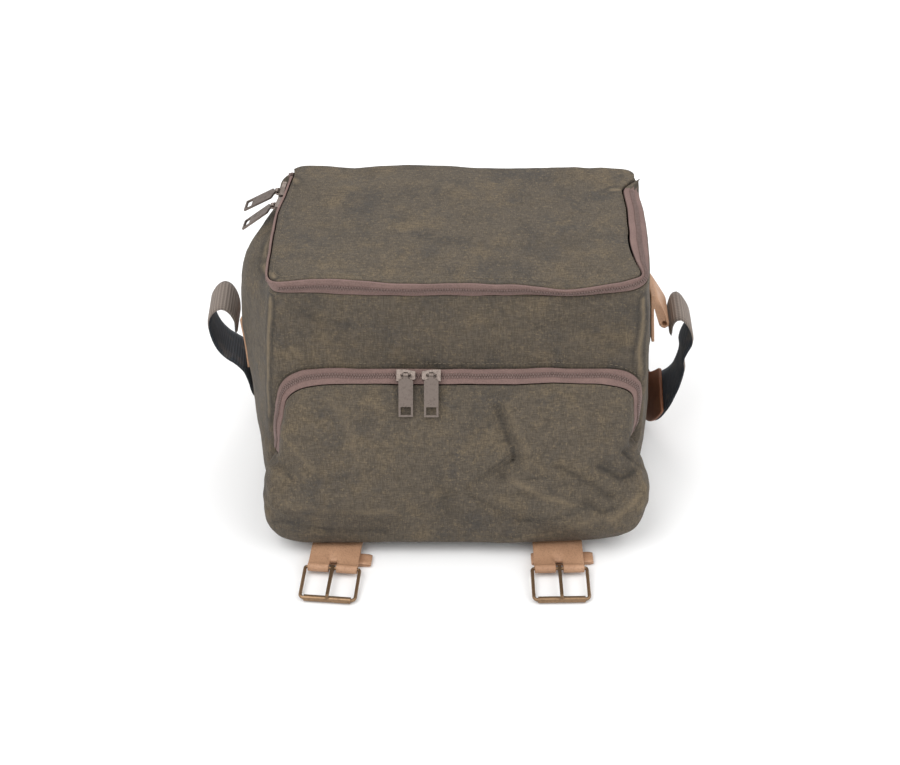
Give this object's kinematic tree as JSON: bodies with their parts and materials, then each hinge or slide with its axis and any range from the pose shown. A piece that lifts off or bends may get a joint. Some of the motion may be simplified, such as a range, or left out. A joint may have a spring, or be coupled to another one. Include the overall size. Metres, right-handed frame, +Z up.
{
  "type": "camera shoulder bag",
  "caption": "Boxy padded camera shoulder bag of waxed canvas, with a zipped lid, a bellows front pocket, leather buckle straps and a webbing shoulder strap.",
  "frame": {"origin": "middle of the flat base, on the floor", "axes": "+Z up, -Y towards the front with the bellows pocket, +X to the bag's right as seen from the front"},
  "size_m": [0.3692, 0.3119, 0.2256],
  "materials": {
    "canvas": "waxed, mottled",
    "zip_tape": "woven tape with a coil",
    "zip_metal": "dull antique",
    "tan_leather": "matte, natural",
    "brown_leather": "matte",
    "brass": "aged, satin",
    "webbing": "woven, dark blue inner face"
  },
  "bodies": {
    "bag": {"body_shell": "canvas", "buckle_strap_left": "tan_leather", "buckle_strap_right": "tan_leather", "lid_panel": "canvas", "lid_zip": "zip_tape", "pocket_shell": "canvas", "pocket_zip": "zip_tape", "shoulder_strap": "webbing", "side_tab_left": "tan_leather", "side_tab_right": "tan_leather", "slider_lid_front": "zip_metal", "slider_lid_rear": "zip_metal", "slider_pocket_left": "zip_metal", "slider_pocket_right": "zip_metal", "strap_keeper_left": "tan_leather", "strap_keeper_right": "tan_leather", "strap_patch": "brown_leather"},
    "pull_lid_rear": {"pull_lid_rear": "zip_metal"},
    "pull_lid_front": {"pull_lid_front": "zip_metal"},
    "pull_pocket_left": {"pull_pocket_left": "zip_metal"},
    "pull_pocket_right": {"pull_pocket_right": "zip_metal"},
    "buckle_left": {"buckle_frame_left": "brass"},
    "tongue_left": {"buckle_tongue_left": "brass"},
    "roller_left": {"buckle_roller_left": "brass"},
    "buckle_right": {"buckle_frame_right": "brass"},
    "tongue_right": {"buckle_tongue_right": "brass"},
    "roller_right": {"buckle_roller_right": "brass"}
  },
  "joints": [
    {"name": "pull_swing_lid_rear", "type": "hinge", "parent": "bag", "child": "pull_lid_rear", "pos_m": [-0.13074, 0.04329, 0.21708], "axis": [0.1532, 0.9773, 0.1461], "range_deg": [-25, 155]},
    {"name": "pull_swing_lid_front", "type": "hinge", "parent": "bag", "child": "pull_lid_front", "pos_m": [-0.13308, 0.02792, 0.21428], "axis": [0.1397, 0.9874, 0.0746], "range_deg": [-12, 155]},
    {"name": "pull_swing_pocket_left", "type": "hinge", "parent": "bag", "child": "pull_pocket_left", "pos_m": [-0.03375, -0.08378, 0.14328], "axis": [-1, 0.0043, -0.0002], "range_deg": [0, 165]},
    {"name": "pull_swing_pocket_right", "type": "hinge", "parent": "bag", "child": "pull_pocket_right", "pos_m": [-0.01543, -0.08387, 0.14326], "axis": [-1, 0.002, -0.0001], "range_deg": [0, 165]},
    {"name": "buckle_lift_left", "type": "hinge", "parent": "bag", "child": "buckle_left", "pos_m": [-0.08847, -0.13969, 0.0061], "axis": [-0.9954, 0.0958, 0], "range_deg": [0, 115]},
    {"name": "tongue_lift_left", "type": "hinge", "parent": "buckle_left", "child": "tongue_left", "pos_m": [-0.08847, -0.13969, 0.0061], "axis": [-0.9954, 0.0958, 0], "range_deg": [0, 115]},
    {"name": "roller_turn_left", "type": "hinge", "parent": "buckle_left", "child": "roller_left", "pos_m": [-0.09126, -0.16866, 0.0027], "axis": [-0.9954, 0.0958, 0], "continuous": true},
    {"name": "buckle_lift_right", "type": "hinge", "parent": "bag", "child": "buckle_right", "pos_m": [0.07861, -0.13998, 0.0061], "axis": [-0.9998, -0.0209, 0], "range_deg": [0, 115]},
    {"name": "tongue_lift_right", "type": "hinge", "parent": "buckle_right", "child": "tongue_right", "pos_m": [0.07861, -0.13998, 0.0061], "axis": [-0.9998, -0.0209, 0], "range_deg": [0, 115]},
    {"name": "roller_turn_right", "type": "hinge", "parent": "buckle_right", "child": "roller_right", "pos_m": [0.07922, -0.16908, 0.0027], "axis": [-0.9998, -0.0209, 0], "continuous": true}
  ]
}
